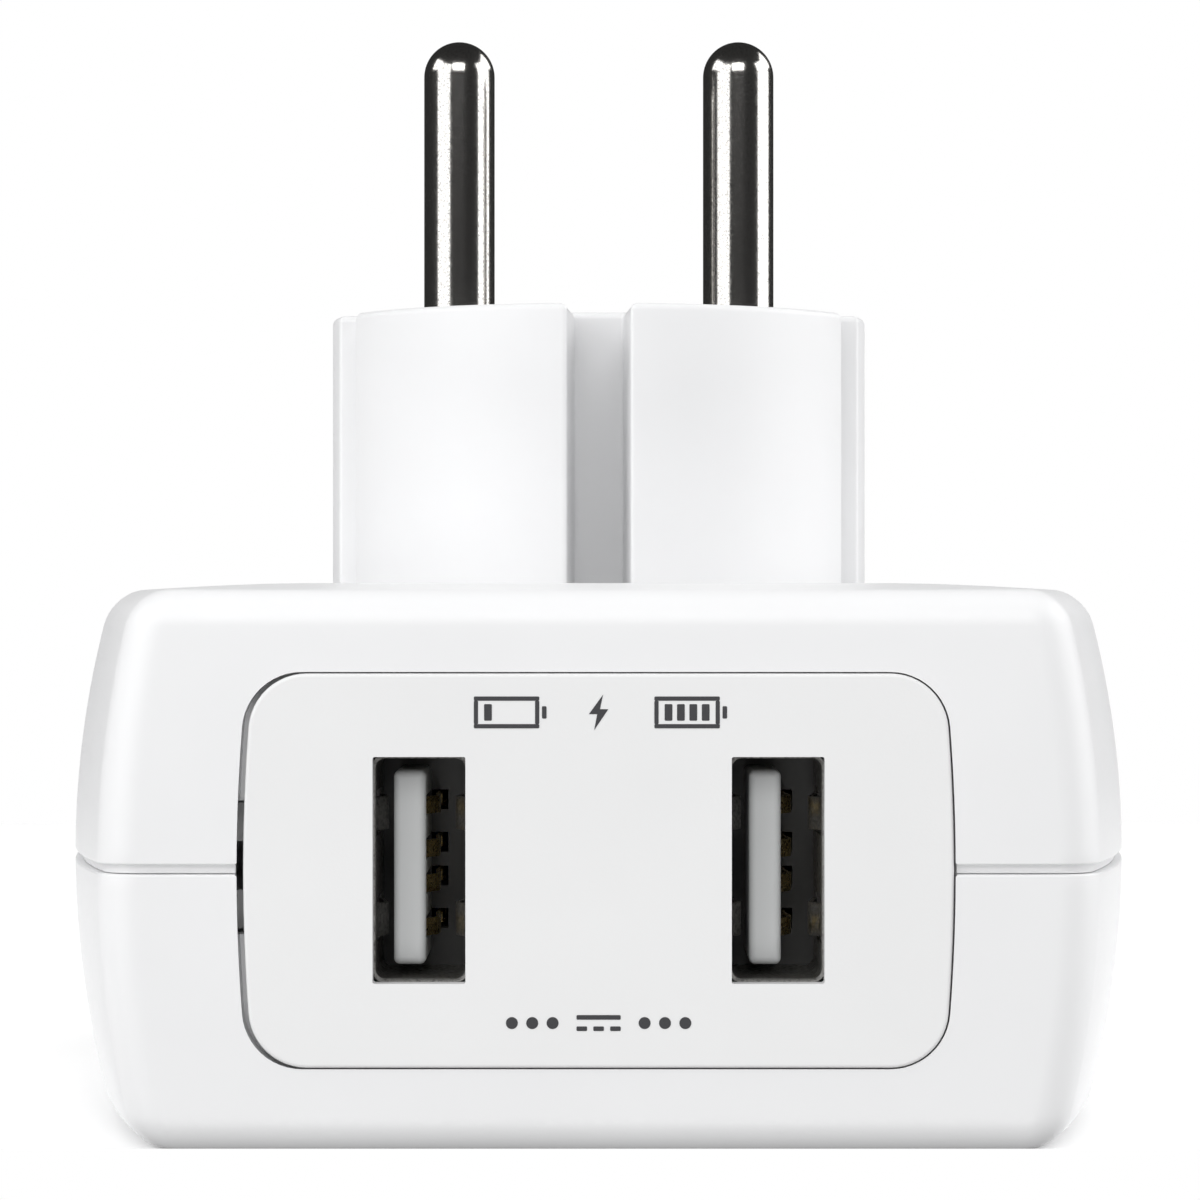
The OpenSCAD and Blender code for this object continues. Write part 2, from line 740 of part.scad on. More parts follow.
module surge_varistor() color("steelblue") {
    on_board(5.5, 21.5) translate([0, 1.8, 6.5]) rotate([90, 0, 0]) cylinder(r = 5, h = 3.6);
    for (x = [3, 8])
        on_board(x, 21.5) cylinder(r = 0.35, h = 3);
}

module filter_capacitor() color("gold") {
    on_board(-6.5, 9) cube([13, 6, 11]);
}

module bridge_rectifier() color("black") {
    on_board(-4.2, 1.2) cube([8.4, 6.2, 3.2]);
}

// Ring core lying flat, wound all round
module filter_choke_core() color("darkgreen") {
    on_board(19.4, -3.6) rotate_extrude() translate([3, 0.9]) square([2.6, 4.6]);
}

module filter_choke_winding() color("peru") {
    on_board(19.4, -3.6)
        for (a = [-60:20:60], flip = [0, 180])
            rotate(a + flip)
                translate([2.2, -0.4, 0.1])
                    difference() {
                        cube([4.2, 0.8, 6.2]);
                        translate([0.7, -over, 0.75]) cube([2.75, 4, 4.7]);
                    }
}

module input_capacitors() color("midnightblue") {
    for (y = [1.1, -9.3])
        on_board(-20.4, y) can(5, 15.5);
}

// Two E-shaped ferrite halves round the bobbin's middle
module transformer_core() color("dimgray") {
    on_board(0, -9.4)
        difference() {
            translate([-8.5, -4.2, 1.6]) cube([17, 8.4, 15]);
            for (side = [-1, 1])
                translate([side * 4.35 - 2.05, -5, 4]) cube([4.1, 10, 10.2]);
        }
}

module transformer_bobbin() color("black") {
    on_board(0, -9.4)
        difference() {
            union() {
                for (z = [4.2, 13])
                    translate([-6.3, -6.4, z]) cube([12.6, 12.8, 1]);
                translate([-3.4, -5.3, 4.4]) cube([6.8, 10.6, 9.2]);
                for (side = [-1, 1])
                    translate([-6.3, side * 5.6 - 0.8, 0]) cube([12.6, 1.6, 4.4]);
            }
            translate([-2.3, -4.2, 0]) cube([4.6, 8.4, 20]);
            for (side = [-1, 1])
                translate([side * 8.3 - 2, -4.2, 0]) cube([4, 8.4, 20]);
        }
}

module transformer_winding() color("khaki") {
    on_board(0, -9.4)
        difference() {
            translate([-6.2, -6.2, 5.2]) cube([12.4, 12.4, 7.8]);
            translate([-3.4, -5.3, 4]) cube([6.8, 10.6, 10]);
            for (side = [-1, 1])
                translate([side * 8.3 - 2, -4.2, 4]) cube([4, 8.4, 10]);
        }
}

module switching_controller() color("black") {
    translate([-7, -12, board_bottom - 1.5]) cube([5, 4, 1.5]);
    for (side = [-1, 1], i = [0:3])
        translate([-6.5 + i * 1.2, side * 2.5 - 10.5, board_bottom - 0.3]) cube([0.5, 1, 0.3]);
}

module optocoupler() color("black") {
    on_board(9.3, -17) translate([0, 0, 0.4]) cube([4.6, 6.4, 3.4]);
    for (x = [10.2, 12.7], y = [-17.4, -10.9])
        on_board(x, y) cube([0.5, 0.5, 2]);
}

module bridging_capacitor() color("deepskyblue") {
    on_board(-12, -17.5) translate([0, 1.4, 5]) rotate([90, 0, 0]) cylinder(r = 3.6, h = 2.8);
    for (x = [-13.8, -10.6])
        on_board(x, -17.5) cylinder(r = 0.3, h = 3);
}

module output_diode() color("black") {
    on_board(15.4, -26.6) translate([0, 0, 3]) cube([10, 2.6, 8.6]);
    for (i = [0:2])
        on_board(17.4 + i * 2.6, -25.6) cube([0.8, 0.6, 3.4]);
}

module diode_heatsink() color("silver") {
    on_board(14.2, -24) {
        cube([12, 1.2, 14]);
        for (x = [0, 3.6, 7.2, 10.8])
            translate([x, 0, 2]) cube([1.2, 4, 12]);
    }
}

module output_capacitors() color("darkslateblue") {
    on_board(-19.6, -26.4) can(4, 12);
    on_board(0, -28) can(4, 12);
}

module output_choke_core() color("dimgray") {
    on_board(0, -38.4) rotate_extrude()
        polygon([[0, 0.2], [3.6, 0.2], [3.6, 1.2], [1.6, 1.2], [1.6, 6.2], [3.6, 6.2], [3.6, 7.2], [0, 7.2]]);
}

module output_choke_winding() color("peru") {
    on_board(0, -38.4) translate([0, 0, 1.2]) rotate_extrude() translate([1.6, 0]) square([1.7, 5]);
}

// Upright sheet that keeps the mains side apart from the sockets
module insulating_sheet() color("ivory") {
    translate([-7.6, -20.6, board_top]) cube([15.2, 0.4, 18]);
}

rear_shell();
front_shell();
socket_panel();
shell_screws();
line_pin();
neutral_pin();
pin_retainer();
retainer_screws();
line_wire();
neutral_wire();
main_board();
board_screws();
board_small_parts();
left_port_shell();
left_port_tongue();
left_port_block();
left_port_tails();
left_contact(0);  // left_contact_1
left_contact(1);  // left_contact_2
left_contact(2);  // left_contact_3
left_contact(3);  // left_contact_4
right_port_shell();
right_port_tongue();
right_port_block();
right_port_tails();
right_contact(0);  // right_contact_1
right_contact(1);  // right_contact_2
right_contact(2);  // right_contact_3
right_contact(3);  // right_contact_4
fuse();
surge_varistor();
filter_capacitor();
bridge_rectifier();
filter_choke_core();
filter_choke_winding();
input_capacitors();
transformer_core();
transformer_bobbin();
transformer_winding();
switching_controller();
optocoupler();
bridging_capacitor();
output_diode();
diode_heatsink();
output_capacitors();
output_choke_core();
output_choke_winding();
insulating_sheet();
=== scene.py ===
"""Two-port USB wall charger: finished shells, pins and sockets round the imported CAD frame.

Lengths in this script are millimetres, in the frame's own axes: +Z is the way the pins point and
-Y is the way the USB sockets face. They become metres when a mesh is made.
"""

import json
import math

import bmesh
import bpy
from mathutils import Matrix, Vector


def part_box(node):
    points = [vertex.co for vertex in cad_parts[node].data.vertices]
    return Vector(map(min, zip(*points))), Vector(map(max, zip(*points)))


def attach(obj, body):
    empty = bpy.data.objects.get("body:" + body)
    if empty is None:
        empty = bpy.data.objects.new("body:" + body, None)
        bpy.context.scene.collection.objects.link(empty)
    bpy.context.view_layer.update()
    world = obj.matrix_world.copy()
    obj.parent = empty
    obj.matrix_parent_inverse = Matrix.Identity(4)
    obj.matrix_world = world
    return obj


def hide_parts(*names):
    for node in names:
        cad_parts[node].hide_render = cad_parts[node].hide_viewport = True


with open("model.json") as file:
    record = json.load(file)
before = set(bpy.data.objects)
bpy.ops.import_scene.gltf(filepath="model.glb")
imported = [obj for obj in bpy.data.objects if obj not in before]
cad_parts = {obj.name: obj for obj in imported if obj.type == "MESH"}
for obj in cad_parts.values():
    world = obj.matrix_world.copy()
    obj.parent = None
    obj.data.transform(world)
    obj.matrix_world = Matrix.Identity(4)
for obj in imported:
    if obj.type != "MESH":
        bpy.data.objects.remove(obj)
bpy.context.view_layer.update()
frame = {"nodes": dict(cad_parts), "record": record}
MM = 0.001
BODY = "charger"


# ---------------------------------------------------------------- dimensions

def cad_box(node):
    """Lowest and highest corner of a CAD node, in millimetres."""
    low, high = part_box(node)
    return low / MM, high / MM


rear_low, rear_high = cad_box("rear_shell")
front_low, front_high = cad_box("front_shell")
panel_low, panel_high = cad_box("socket_panel")
pin_low, pin_high = cad_box("neutral_pin")
port_low, port_high = cad_box("right_port_shell")
tongue_low, tongue_high = cad_box("right_port_tongue")

# Body: a flat nose, sides that widen a little, a round tail, and an upright bulge all round
BODY_R = rear_high.x
NOSE_Y = -panel_low.y
WIDE_Y = 20             # the body is widest this far towards the nose
SIDE_R = 97
NOSE_CORNER_R = 2.7
BOW_R = 54.7            # radius of the upright bulge
NOSE_BOW = 0.15         # share of the bulge that the nose follows
REAR_Z = -18            # wall-side face
BOW_Z = REAR_Z - 16.2   # where the bulge is fullest
FRONT_Z = front_low.z
REAR_EDGE_R = 2.1
FRONT_EDGE_R = 2.1
CROWN = 0.38            # how far the wall-side face falls towards its edge
CROWN_END = 11.2        # how far in from the edge that fall begins
WALL = 2
CEILING_Z = REAR_Z - WALL
FLOOR_Z = FRONT_Z + WALL
REAR_INSIDE_Z = -25     # the walls are straight inside from here to the joint
FRONT_INSIDE_Z = -42

# Joint between the shells: an open groove, and a lap of the rear shell behind the front shell
GROOVE_TOP = REAR_Z - 15.98
GROOVE_BOTTOM = front_high.z
GROOVE_DEPTH = 0.45
SEAM_LIP = 0.13
LAP_INSET = 1
LAP_DEPTH = 2
LAP_PLAY = 0.05

# Plug: its section is a circle with two slots for earth springs, and two ears with guide grooves
PLUG_R = 18.15
PLUG_EDGE_R = 0.45
PLUG_FACE_T = 3.5
LOBE_X = 16.04          # the circle is cut off here, beside the ears
EAR_Y = 5.5
SLOT_MOUTH = 4.1
SLOT_FLOOR = 3.25
SLOT_FLOOR_Y = 9
GUIDE_W = 5
GUIDE_D = 2.3

PIN_R = 2.4
PIN_SEAT_R = 2.6
PIN_X = (pin_low.x + pin_high.x) / 2
PIN_END = pin_high.z
PIN_TAIL_Z = pin_low.z
PIN_COLLAR_R = 3.4
PIN_TAIL_R = 1.6
PIN_BOSS_R = 4.4
PIN_BOSS_END = -14
BOSS_PLAY = 0.15
RETAINER_Z = -17
RETAINER_Y = 4.8        # of the retainer's two screws
RETAINER_ROOM = (5, 6.9)
RETAINER_POST_R = 2
SMALL_PILOT_R = 0.9

# Panel: it sits in a recess, against a ledge, and holds by hooks through slots in that ledge
PANEL_W = 40.2
PANEL_Z = GROOVE_TOP - 0.32
PANEL_H = 22.3
PANEL_CORNER_R = 3.3
PANEL_T = 1.6
PANEL_LIP = 0.22
PANEL_BOW_R = 108
PANEL_GAP = 0.08
HOOK_GAP = 0.28         # extra gap on the left
RECESS_UNDERCUT = 0.12
LEDGE_Y = -NOSE_Y + PANEL_T + 0.1
LEDGE_T = 1.5
LEDGE_IN, LEDGE_OUT = -1.3, 1.6
HOOK_X = PANEL_W / 2 - 1.2
HOOK_Z = (2.6, -2.4)
HOOK_H = 2.2
HOOK_REACH = ((1, 0.8), (-1, 2.1))
HOOK_PLAY = 0.2

PORT_X = (port_low.x + port_high.x) / 2
PORT_Z = REAR_Z - 16.28
PORT_CUT = (5.25, 12.82)
PORT_CUT_R = 0.12
PORT_UNDERCUT = 0.07
SHELL_W, SHELL_H, SHELL_T = 5.72, 13.14, 0.3
PORT_FRONT_Y = port_low.y
PORT_BACK_Y = PORT_FRONT_Y + 14
TONGUE_T, TONGUE_H = tongue_high.x - tongue_low.x, 11.1
TONGUE_X = (tongue_low.x + tongue_high.x) / 2 - PORT_X
TONGUE_FACE_X = tongue_high.x - PORT_X
TONGUE_FRONT_Y = tongue_low.y
BLOCK_FRONT_Y = tongue_high.y
CONTACT_Z = (3.5, 1, -1, -3.5)
CONTACT_W, CONTACT_T = 1, 0.2
CONTACT_PLAY = 0.1
FINGER_W, FINGER_Z, FINGER_DEPTH, FINGER_T = 1.9, 3.05, 0.65, 0.24
FINGER_PLAY = 0.35
PORT_LEG_Y, PORT_LEG_W = (-42, -36), 1.6

SCREW_XY = ((20, 10.5), (20.5, -36.5))
SCREW_SEAT_Z = REAR_Z - 8
SCREW_HEAD_R, SCREW_HEAD_H = 2.8, 2
SCREW_R, SCREW_HOLE_R, SCREW_L = 1.25, 1.6, 18
COUNTERBORE_R = 3.1
COUNTERBORE_UNDERCUT = 0.35
BOSS_R = 3.75
BOSS_JOINT_Z = GROOVE_TOP - 2.47
BOARD_POSTS = ((-23.3, -17.5, 2.4), (23.3, -17.5, 2.4), (0, 24.4, 1.8))   # x, y, radius

TURNED_FACETS = 64
CAMERA_AT = (0.08, -285, -19)
AIM = (0, -10, -15)     # the soft boxes point here


# -------------------------------------------------------------- mesh helpers

def mesh_piece(name, points, faces, sharp=32):
    """A smooth-shaded object from points in millimetres; edges above "sharp" degrees stay sharp."""
    mesh = bpy.data.meshes.new(name)
    mesh.from_pydata([Vector(p) * MM for p in points], [], faces)
    work = bmesh.new()
    work.from_mesh(mesh)
    bmesh.ops.remove_doubles(work, verts=work.verts, dist=1e-7)
    bmesh.ops.recalc_face_normals(work, faces=work.faces)
    work.to_mesh(mesh)
    work.free()
    piece = bpy.data.objects.new(name, mesh)
    bpy.context.scene.collection.objects.link(piece)
    shade(piece, sharp)
    return piece


def shade(piece, sharp=32):
    piece.data.shade_smooth()
    piece.data.set_sharp_from_angle(angle=math.radians(sharp))


def loft(name, rings, closed=False, sharp=32):
    """Skin over rings of equal length; its ends are capped, or joined to each other if closed."""
    count = len(rings[0])
    points = [p for ring in rings for p in ring]
    faces = []
    spans = len(rings) if closed else len(rings) - 1
    for k in range(spans):
        a, b = k * count, (k + 1) % len(rings) * count
        for i in range(count):
            j = (i + 1) % count
            faces.append((a + i, a + j, b + j, b + i))
    if not closed:
        faces.append(tuple(range(count - 1, -1, -1)))
        faces.append(tuple(range(len(points) - count, len(points))))
    return mesh_piece(name, points, faces, sharp)


def apply_modifiers(piece):
    """Bakes the modifiers of a piece into its mesh."""
    graph = bpy.context.evaluated_depsgraph_get()
    graph.update()
    made = bpy.data.meshes.new_from_object(piece.evaluated_get(graph))
    piece.modifiers.clear()
    piece.data = made


def combine(piece, tools, operation):
    """Cuts tools from a piece, or joins them to it, and removes them."""
    for tool in tools:
        step = piece.modifiers.new("combine", "BOOLEAN")
        step.operation = operation
        step.solver = "EXACT"
        step.object = tool
        apply_modifiers(piece)
        bpy.data.objects.remove(tool)


def even_normals(piece, sharp=32):
    """Lets large faces decide the shading, so that small cut edges don't bend it."""
    shade(piece, sharp)
    step = piece.modifiers.new("normals", "WEIGHTED_NORMAL")
    step.mode = "FACE_AREA"
    step.weight = 80
    step.keep_sharp = True
    apply_modifiers(piece)


def join(name, parts):
    """One object from several meshes."""
    work = bmesh.new()
    for part in parts:
        work.from_mesh(part.data)
    mesh = bpy.data.meshes.new(name)
    work.to_mesh(mesh)
    work.free()
    for part in parts:
        bpy.data.objects.remove(part)
    piece = bpy.data.objects.new(name, mesh)
    bpy.context.scene.collection.objects.link(piece)
    shade(piece)
    return piece


def finish_piece(piece, material, nodes, body=BODY):
    """Gives a piece its material and slot, makes it ride on a body and stand for CAD nodes."""
    piece.data.materials.clear()
    piece.data.materials.append(material)
    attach(piece, body)
    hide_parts(*nodes)
    return piece


def arc(centre, radius, start, end, steps):
    """Points on an arc in a plane, both ends included; angles are in degrees."""
    turns = [math.radians(start + (end - start) * i / steps) for i in range(steps + 1)]
    return [(centre[0] + radius * math.cos(t), centre[1] + radius * math.sin(t)) for t in turns]


def quarter(radius, steps=6):
    """(inset, drop) pairs of a quarter round, from its flat face down to its side."""
    turns = [math.pi / 2 * (1 - i / steps) for i in range(steps + 1)]
    return [(radius * (1 - math.cos(t)), radius * (1 - math.sin(t))) for t in turns]


def lathe(name, profile, segments=TURNED_FACETS, sharp=32):
    """Solid turned about the Z axis from (radius, z) pairs; a radius of 0 closes an end."""
    rings = []
    for radius, z in profile:
        r = max(radius, 1e-4)
        rings.append([(x, y, z) for x, y in arc((0, 0), r, 0, 360 * (1 - 1 / segments), segments - 1)])
    return loft(name, rings, sharp=sharp)


def box_tool(low, high):
    x0, y0, z0 = low
    x1, y1, z1 = high
    rings = [[(x0, y0, z), (x1, y0, z), (x1, y1, z), (x0, y1, z)] for z in (z0, z1)]
    return loft("tool", rings)


def rod(x, y, z0, z1, radius, segments=48):
    tool = lathe("tool", [(radius, z0), (radius, z1)], segments)
    tool.data.transform(Matrix.Translation(Vector((x, y, 0)) * MM))
    return tool


def rounded_rectangle(width, height, radius, steps=5):
    """Points of a rounded rectangle about the origin, in a plane."""
    x, y = width / 2 - radius, height / 2 - radius
    corners = ((x, y, 0), (-x, y, 90), (-x, -y, 180), (x, -y, 270))
    return [p for cx, cy, a in corners for p in arc((cx, cy), radius, a, a + 90, steps)]


def upright(outline, y, z):
    """An outline in X and Z as a ring at depth y, about height z."""
    return [(px, y, pz + z) for px, pz in outline]


def fillet(corners, steps=4):
    """Rounds an outline. Each corner is (x, y, radius); a radius of 0 keeps the point as it is."""
    outline = []
    count = len(corners)
    for i, (x, y, radius) in enumerate(corners):
        if radius <= 0:
            outline.append((x, y))
            continue
        here = Vector((x, y))
        before = Vector(corners[i - 1][:2]) - here
        after = Vector(corners[(i + 1) % count][:2]) - here
        half = before.angle(after) / 2
        reach = min(radius / math.tan(half), 0.45 * before.length, 0.45 * after.length)
        start, end = here + before.normalized() * reach, here + after.normalized() * reach
        for k in range(steps + 1):
            u = k / steps
            p = start * (1 - u) ** 2 + here * 2 * u * (1 - u) + end * u ** 2
            outline.append((p.x, p.y))
    return outline


# ------------------------------------------------------------------ outlines

def bow(z):
    """How far the sides have bulged back in at height z."""
    return BOW_R - math.sqrt(BOW_R ** 2 - (z - BOW_Z) ** 2)


def half_outline(inset):
    """Right half of the body's outline, from the nose's middle to the tail's middle."""
    a, n, r = BODY_R - inset, NOSE_Y - inset, SIDE_R - inset
    corner = max(NOSE_CORNER_R - inset, 0.3)
    side_x, cy = BODY_R - SIDE_R, corner - n
    cx = side_x + math.sqrt((r - corner) ** 2 - (cy + WIDE_Y) ** 2)
    turn = math.degrees(math.atan2(cy + WIDE_Y, cx - side_x))
    face = [(cx * i / 12, -n) for i in range(12)]
    nose_corner = arc((cx, cy), corner, -90, turn, 12)
    side = arc((side_x, -WIDE_Y), r, turn, 0, 20)[1:]
    straight = [(a, -WIDE_Y * (1 - i / 5)) for i in range(1, 5)]
    tail = arc((0, 0), a, 0, 90, 44)
    return face + nose_corner + side + straight + tail


def outline(inset, z):
    """The body's whole outline at height z, drawn in by the bulge."""
    half = half_outline(inset)
    whole = half + [(-x, y) for x, y in reversed(half[1:-1])]
    kx = 1 - bow(z) / BODY_R
    ky = 1 - NOSE_BOW * bow(z) / NOSE_Y
    return [(x * kx, y * (kx if y > 0 else ky), z) for x, y in whole]


def levels_down(z0, z1, steps):
    return [(0, z0 + (z1 - z0) * i / steps) for i in range(1, steps)]


def crown_levels():
    """The wall-side face: it falls away gently towards its edge."""
    steps = 10
    found = []
    for i in range(steps):
        t = 1 - i / steps
        inset = REAR_EDGE_R + (CROWN_END - REAR_EDGE_R) * t
        found.append((inset, REAR_Z - CROWN * (1 - t) ** 1.45))
    return found


def rear_skin():
    top = REAR_Z - CROWN
    edge = [(i, top - d) for i, d in quarter(REAR_EDGE_R, 10)]
    lip = [(i, GROOVE_TOP + d) for i, d in reversed(quarter(SEAM_LIP, 4))]
    side = levels_down(top - REAR_EDGE_R, GROOVE_TOP + SEAM_LIP, 18)
    foot, lap_end, chamfer = GROOVE_BOTTOM + LAP_PLAY, GROOVE_BOTTOM - LAP_DEPTH, 0.1
    groove_and_lap = [(GROOVE_DEPTH, GROOVE_TOP), (GROOVE_DEPTH, foot), (LAP_INSET, foot),
                      (LAP_INSET, lap_end + chamfer), (LAP_INSET + chamfer, lap_end), (WALL, lap_end)]
    inside = [(WALL, GROOVE_TOP - 1), (WALL, REAR_INSIDE_Z),
              (WALL + 0.2, CEILING_Z - 2), (WALL + 1.6, CEILING_Z)]
    return crown_levels() + edge + side + lip + groove_and_lap + inside


def front_skin():
    edge = [(i, FRONT_Z + d) for i, d in quarter(FRONT_EDGE_R, 10)]
    lip = [(i, GROOVE_BOTTOM - d) for i, d in reversed(quarter(SEAM_LIP, 4))]
    side = levels_down(FRONT_Z + FRONT_EDGE_R, GROOVE_BOTTOM - SEAM_LIP, 18)
    step, step_end = LAP_INSET - 0.1, GROOVE_BOTTOM - LAP_DEPTH - 0.2
    inside = [(step, GROOVE_BOTTOM), (step, step_end), (WALL, step_end), (WALL, FRONT_INSIDE_Z),
              (WALL + 0.2, FLOOR_Z + 1.4), (WALL + 1.2, FLOOR_Z)]
    return edge + side + lip + inside


def panel_outline(grow, left_grow=0):
    """The panel's outline in X and Z; its upright edges bulge a little."""
    w, h, r = PANEL_W / 2 + grow, PANEL_H / 2 + grow, PANEL_CORNER_R + grow
    v0 = (h - r) / (1 - r / PANEL_BOW_R)
    a0 = math.degrees(math.asin(v0 / PANEL_BOW_R))
    x0 = w - PANEL_BOW_R + math.sqrt(PANEL_BOW_R ** 2 - v0 ** 2)
    edge = [v0 * i / 8 for i in range(-7, 8)]
    half = [(w - PANEL_BOW_R + math.sqrt(PANEL_BOW_R ** 2 - v * v), v) for v in edge]
    ca, sa = math.cos(math.radians(a0)), math.sin(math.radians(a0))
    corner = [(x0 + r * (x - ca), v0 + r * (y - sa)) for x, y in arc((0, 0), 1, a0, 90, 12)]
    top = half + corner
    left = [(-x - left_grow, y) for x, y in reversed(top)]
    low_left = [(-x - left_grow, -y) for x, y in corner]
    low_right = [(x, -y) for x, y in reversed(corner)]
    return top + left + low_left + low_right


def face_y(z):
    """Depth of the body's flat end face at height z."""
    return -NOSE_Y + NOSE_BOW * bow(z)


def plug_outline(inset, z):
    """Section of the plug, with rounded corners, as a ring at height z."""
    r, lobe, ear = PLUG_R - inset, LOBE_X - inset, EAR_Y - inset
    slope = (SLOT_MOUTH - SLOT_FLOOR) / 2 / (PLUG_R - SLOT_FLOOR_Y)
    mouth, floor_x = SLOT_MOUTH / 2 + inset, SLOT_FLOOR / 2 + inset
    floor_y, guide_x, guide_y = SLOT_FLOOR_Y - inset, PLUG_R - GUIDE_D - inset, GUIDE_W / 2 + inset
    mouth = floor_x + slope * (math.sqrt(r * r - mouth * mouth) - floor_y)

    def angle(x=None, y=None):
        return math.degrees(math.asin(y / r) if x is None else math.acos(x / r))

    convex, concave = max(0.4 - inset, 0.08), 0.3 + inset
    lobe_arc = arc((0, 0), r, angle(x=lobe) + 2.2, angle(x=mouth) - 2.2, 20)
    quadrant = [(guide_x, guide_y, concave)]
    if ear > guide_y:
        ear_arc = arc((0, 0), r, angle(y=guide_y) + 1.6, angle(y=ear) - 1.6, 4)
        quadrant += [(math.sqrt(r * r - guide_y ** 2), guide_y, convex)]
        quadrant += [(x, y, 0) for x, y in ear_arc]
        quadrant += [(math.sqrt(r * r - ear * ear), ear, convex), (lobe, ear, concave)]
    else:
        quadrant += [(lobe, guide_y, convex)]
    quadrant += [(lobe, math.sqrt(r * r - lobe * lobe), convex)]
    quadrant += [(x, y, 0) for x, y in lobe_arc]
    quadrant += [(mouth, math.sqrt(r * r - mouth * mouth), convex), (floor_x, floor_y, concave)]
    half = quadrant + [(-x, y, c) for x, y, c in reversed(quadrant)]
    whole = half + [(-x, -y, c) for x, y, c in half]
    return [(x, y, z) for x, y in fillet(whole)]


# -------------------------------------------------------------------- shells

def window_tools():
    """The recess for the panel, undercut a little behind its rim, and the smaller hole behind it."""
    cut = RECESS_UNDERCUT
    rim = [(cut, -1.5), (cut, 0)] + [(cut - i, d) for i, d in quarter(cut, 3)]
    rings = []
    for grow, depth in rim:
        shape = upright(panel_outline(PANEL_GAP + grow, HOOK_GAP), 0, PANEL_Z)
        rings.append([(x, face_y(z) + depth, z) for x, _, z in shape])
    rings.append(upright(panel_outline(PANEL_GAP, HOOK_GAP), LEDGE_Y, PANEL_Z))
    recess = loft("tool", rings)
    hole_ends = (-NOSE_Y - 1, LEDGE_Y + LEDGE_T + 1)
    hole = loft("tool", [upright(panel_outline(LEDGE_IN), y, PANEL_Z) for y in hole_ends])
    return [recess, hole] + hook_slots()


def hook_slots():
    """Slots in the ledge for the panel's hooks; the two on the left run into one."""
    half = HOOK_H / 2 + HOOK_PLAY
    apart = [(z - half, z + half) for z in HOOK_Z]
    joined = [(HOOK_Z[1] - half, HOOK_Z[0] + half)]
    y0, y1 = LEDGE_Y - 1, LEDGE_Y + LEDGE_T + 1
    tools = []
    for side, reach in HOOK_REACH:
        x0, x1 = sorted((side * (HOOK_X - 0.45), side * (HOOK_X + 0.05 + reach)))
        for low, high in apart if side > 0 else joined:
            tools.append(box_tool((x0, y0, PANEL_Z + low), (x1, y1, PANEL_Z + high)))
    return tools


def ledge(z0, z1):
    """The part of the ledge behind the panel's edge that lies between two heights."""
    ends = (LEDGE_Y - 0.4, LEDGE_Y + LEDGE_T)
    plate = loft("ledge", [upright(panel_outline(LEDGE_OUT), y, PANEL_Z) for y in ends])
    combine(plate, [box_tool((-60, -60, z0), (60, 60, z1))], "INTERSECT")
    return plate


def at_screws():
    return [(side * x, y) for side in (-1, 1) for x, y in SCREW_XY]


def plug_inside():
    """What is cut out of the plug: its hollow, the pin holes, and room for collars and retainer."""
    low, high = CEILING_Z - 1, -PLUG_FACE_T
    hollow = loft("tool", [plug_outline(WALL, z) for z in (low, high)])
    posts = [rod(x, 0, low - 1, high + 1, PIN_BOSS_R) for x in (-PIN_X, PIN_X)]
    posts += [rod(0, y, low - 1, high + 1, RETAINER_POST_R) for y in (-RETAINER_Y, RETAINER_Y)]
    combine(hollow, posts, "DIFFERENCE")
    room_x, room_y = RETAINER_ROOM
    tools = [hollow, box_tool((-room_x, -room_y, low), (room_x, room_y, RETAINER_Z))]
    for x in (-PIN_X, PIN_X):
        bore = lathe("tool", [(PIN_SEAT_R, 1), (PIN_SEAT_R, PIN_BOSS_END),
                              (PIN_BOSS_R + BOSS_PLAY, PIN_BOSS_END), (PIN_BOSS_R + BOSS_PLAY, low)])
        # Turned by half a facet, so that no edge of the bore runs through a corner of its boss
        half_facet = Matrix.Rotation(math.pi / TURNED_FACETS, 4, "Z")
        bore.data.transform(Matrix.Translation((x * MM, 0, 0)) @ half_facet)
        tools.append(bore)
    for y in (-RETAINER_Y, RETAINER_Y):
        tools.append(rod(0, y, RETAINER_Z - 1, RETAINER_Z + 8, SMALL_PILOT_R, 24))
    return tools


def counterbores():
    """Deep round holes in the wall-side face, down to the screws' seats and through the bosses."""
    mouth, face_z = COUNTERBORE_R + COUNTERBORE_UNDERCUT, REAR_Z - CROWN * 0.45
    rim = [(mouth - i, face_z - d) for i, d in quarter(COUNTERBORE_UNDERCUT, 4)]
    bore = [(COUNTERBORE_R, SCREW_SEAT_Z), (SCREW_HOLE_R, SCREW_SEAT_Z), (SCREW_HOLE_R, BOSS_JOINT_Z - 1)]
    tools = []
    for x, y in at_screws():
        tool = lathe("tool", [(mouth, REAR_Z + 1)] + rim + bore, 48)
        tool.data.transform(Matrix.Translation(Vector((x, y, 0)) * MM))
        tools.append(tool)
    return tools


def rear_shell(material):
    shell = loft("rear_shell_moulding", [outline(i, z) for i, z in rear_skin()])
    edge = [(i, -d) for i, d in quarter(PLUG_EDGE_R, 6)]
    plug = loft("plug", [plug_outline(i, z) for i, z in edge + [(0, -6), (0, -12), (0, REAR_Z - 1)]])
    bosses = [rod(x, y, BOSS_JOINT_Z, CEILING_Z + 0.5, BOSS_R) for x, y in at_screws()]
    combine(shell, [plug, ledge(GROOVE_TOP, 0)] + bosses, "UNION")
    combine(shell, plug_inside() + counterbores() + window_tools(), "DIFFERENCE")
    even_normals(shell)
    return finish_piece(shell, material, ["rear_shell"])


